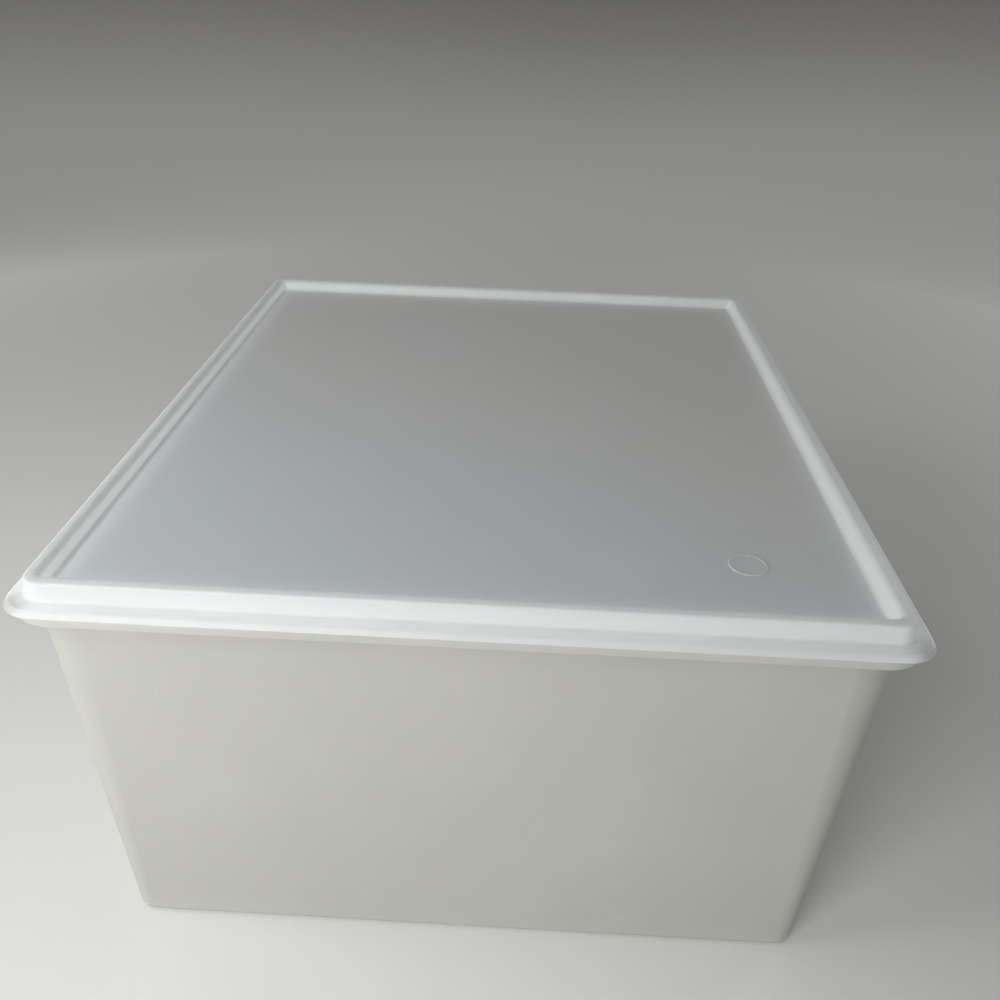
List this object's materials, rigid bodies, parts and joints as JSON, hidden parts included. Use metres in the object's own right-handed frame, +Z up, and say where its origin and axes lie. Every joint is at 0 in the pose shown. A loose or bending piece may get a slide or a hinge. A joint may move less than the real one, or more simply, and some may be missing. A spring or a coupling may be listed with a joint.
{
  "type": "dough proofing container",
  "caption": "Large rectangular translucent tub with leaning walls and a sunk press-on lid that seals over its rim; lid lifts off.",
  "frame": {"origin": "centre of the container's footprint, on the surface that it stands on", "axes": "+Z up, +X across the shorter side with the front facing -Y, +Y along the longer side"},
  "size_m": [0.4054, 0.4764, 0.2258],
  "materials": {
    "tub_polyethylene": "milky translucent natural polyethylene, satin",
    "lid_polyethylene": "milky translucent natural polyethylene, thinner and glossier than the tub"
  },
  "bodies": {
    "tub": {"tub": "tub_polyethylene"},
    "lid": {"lid": "lid_polyethylene"}
  },
  "joints": [
    {"name": "lid_lift", "type": "slide", "parent": "tub", "child": "lid", "axis": [0, 0, 1], "range_m": [0, 0.25]}
  ]
}
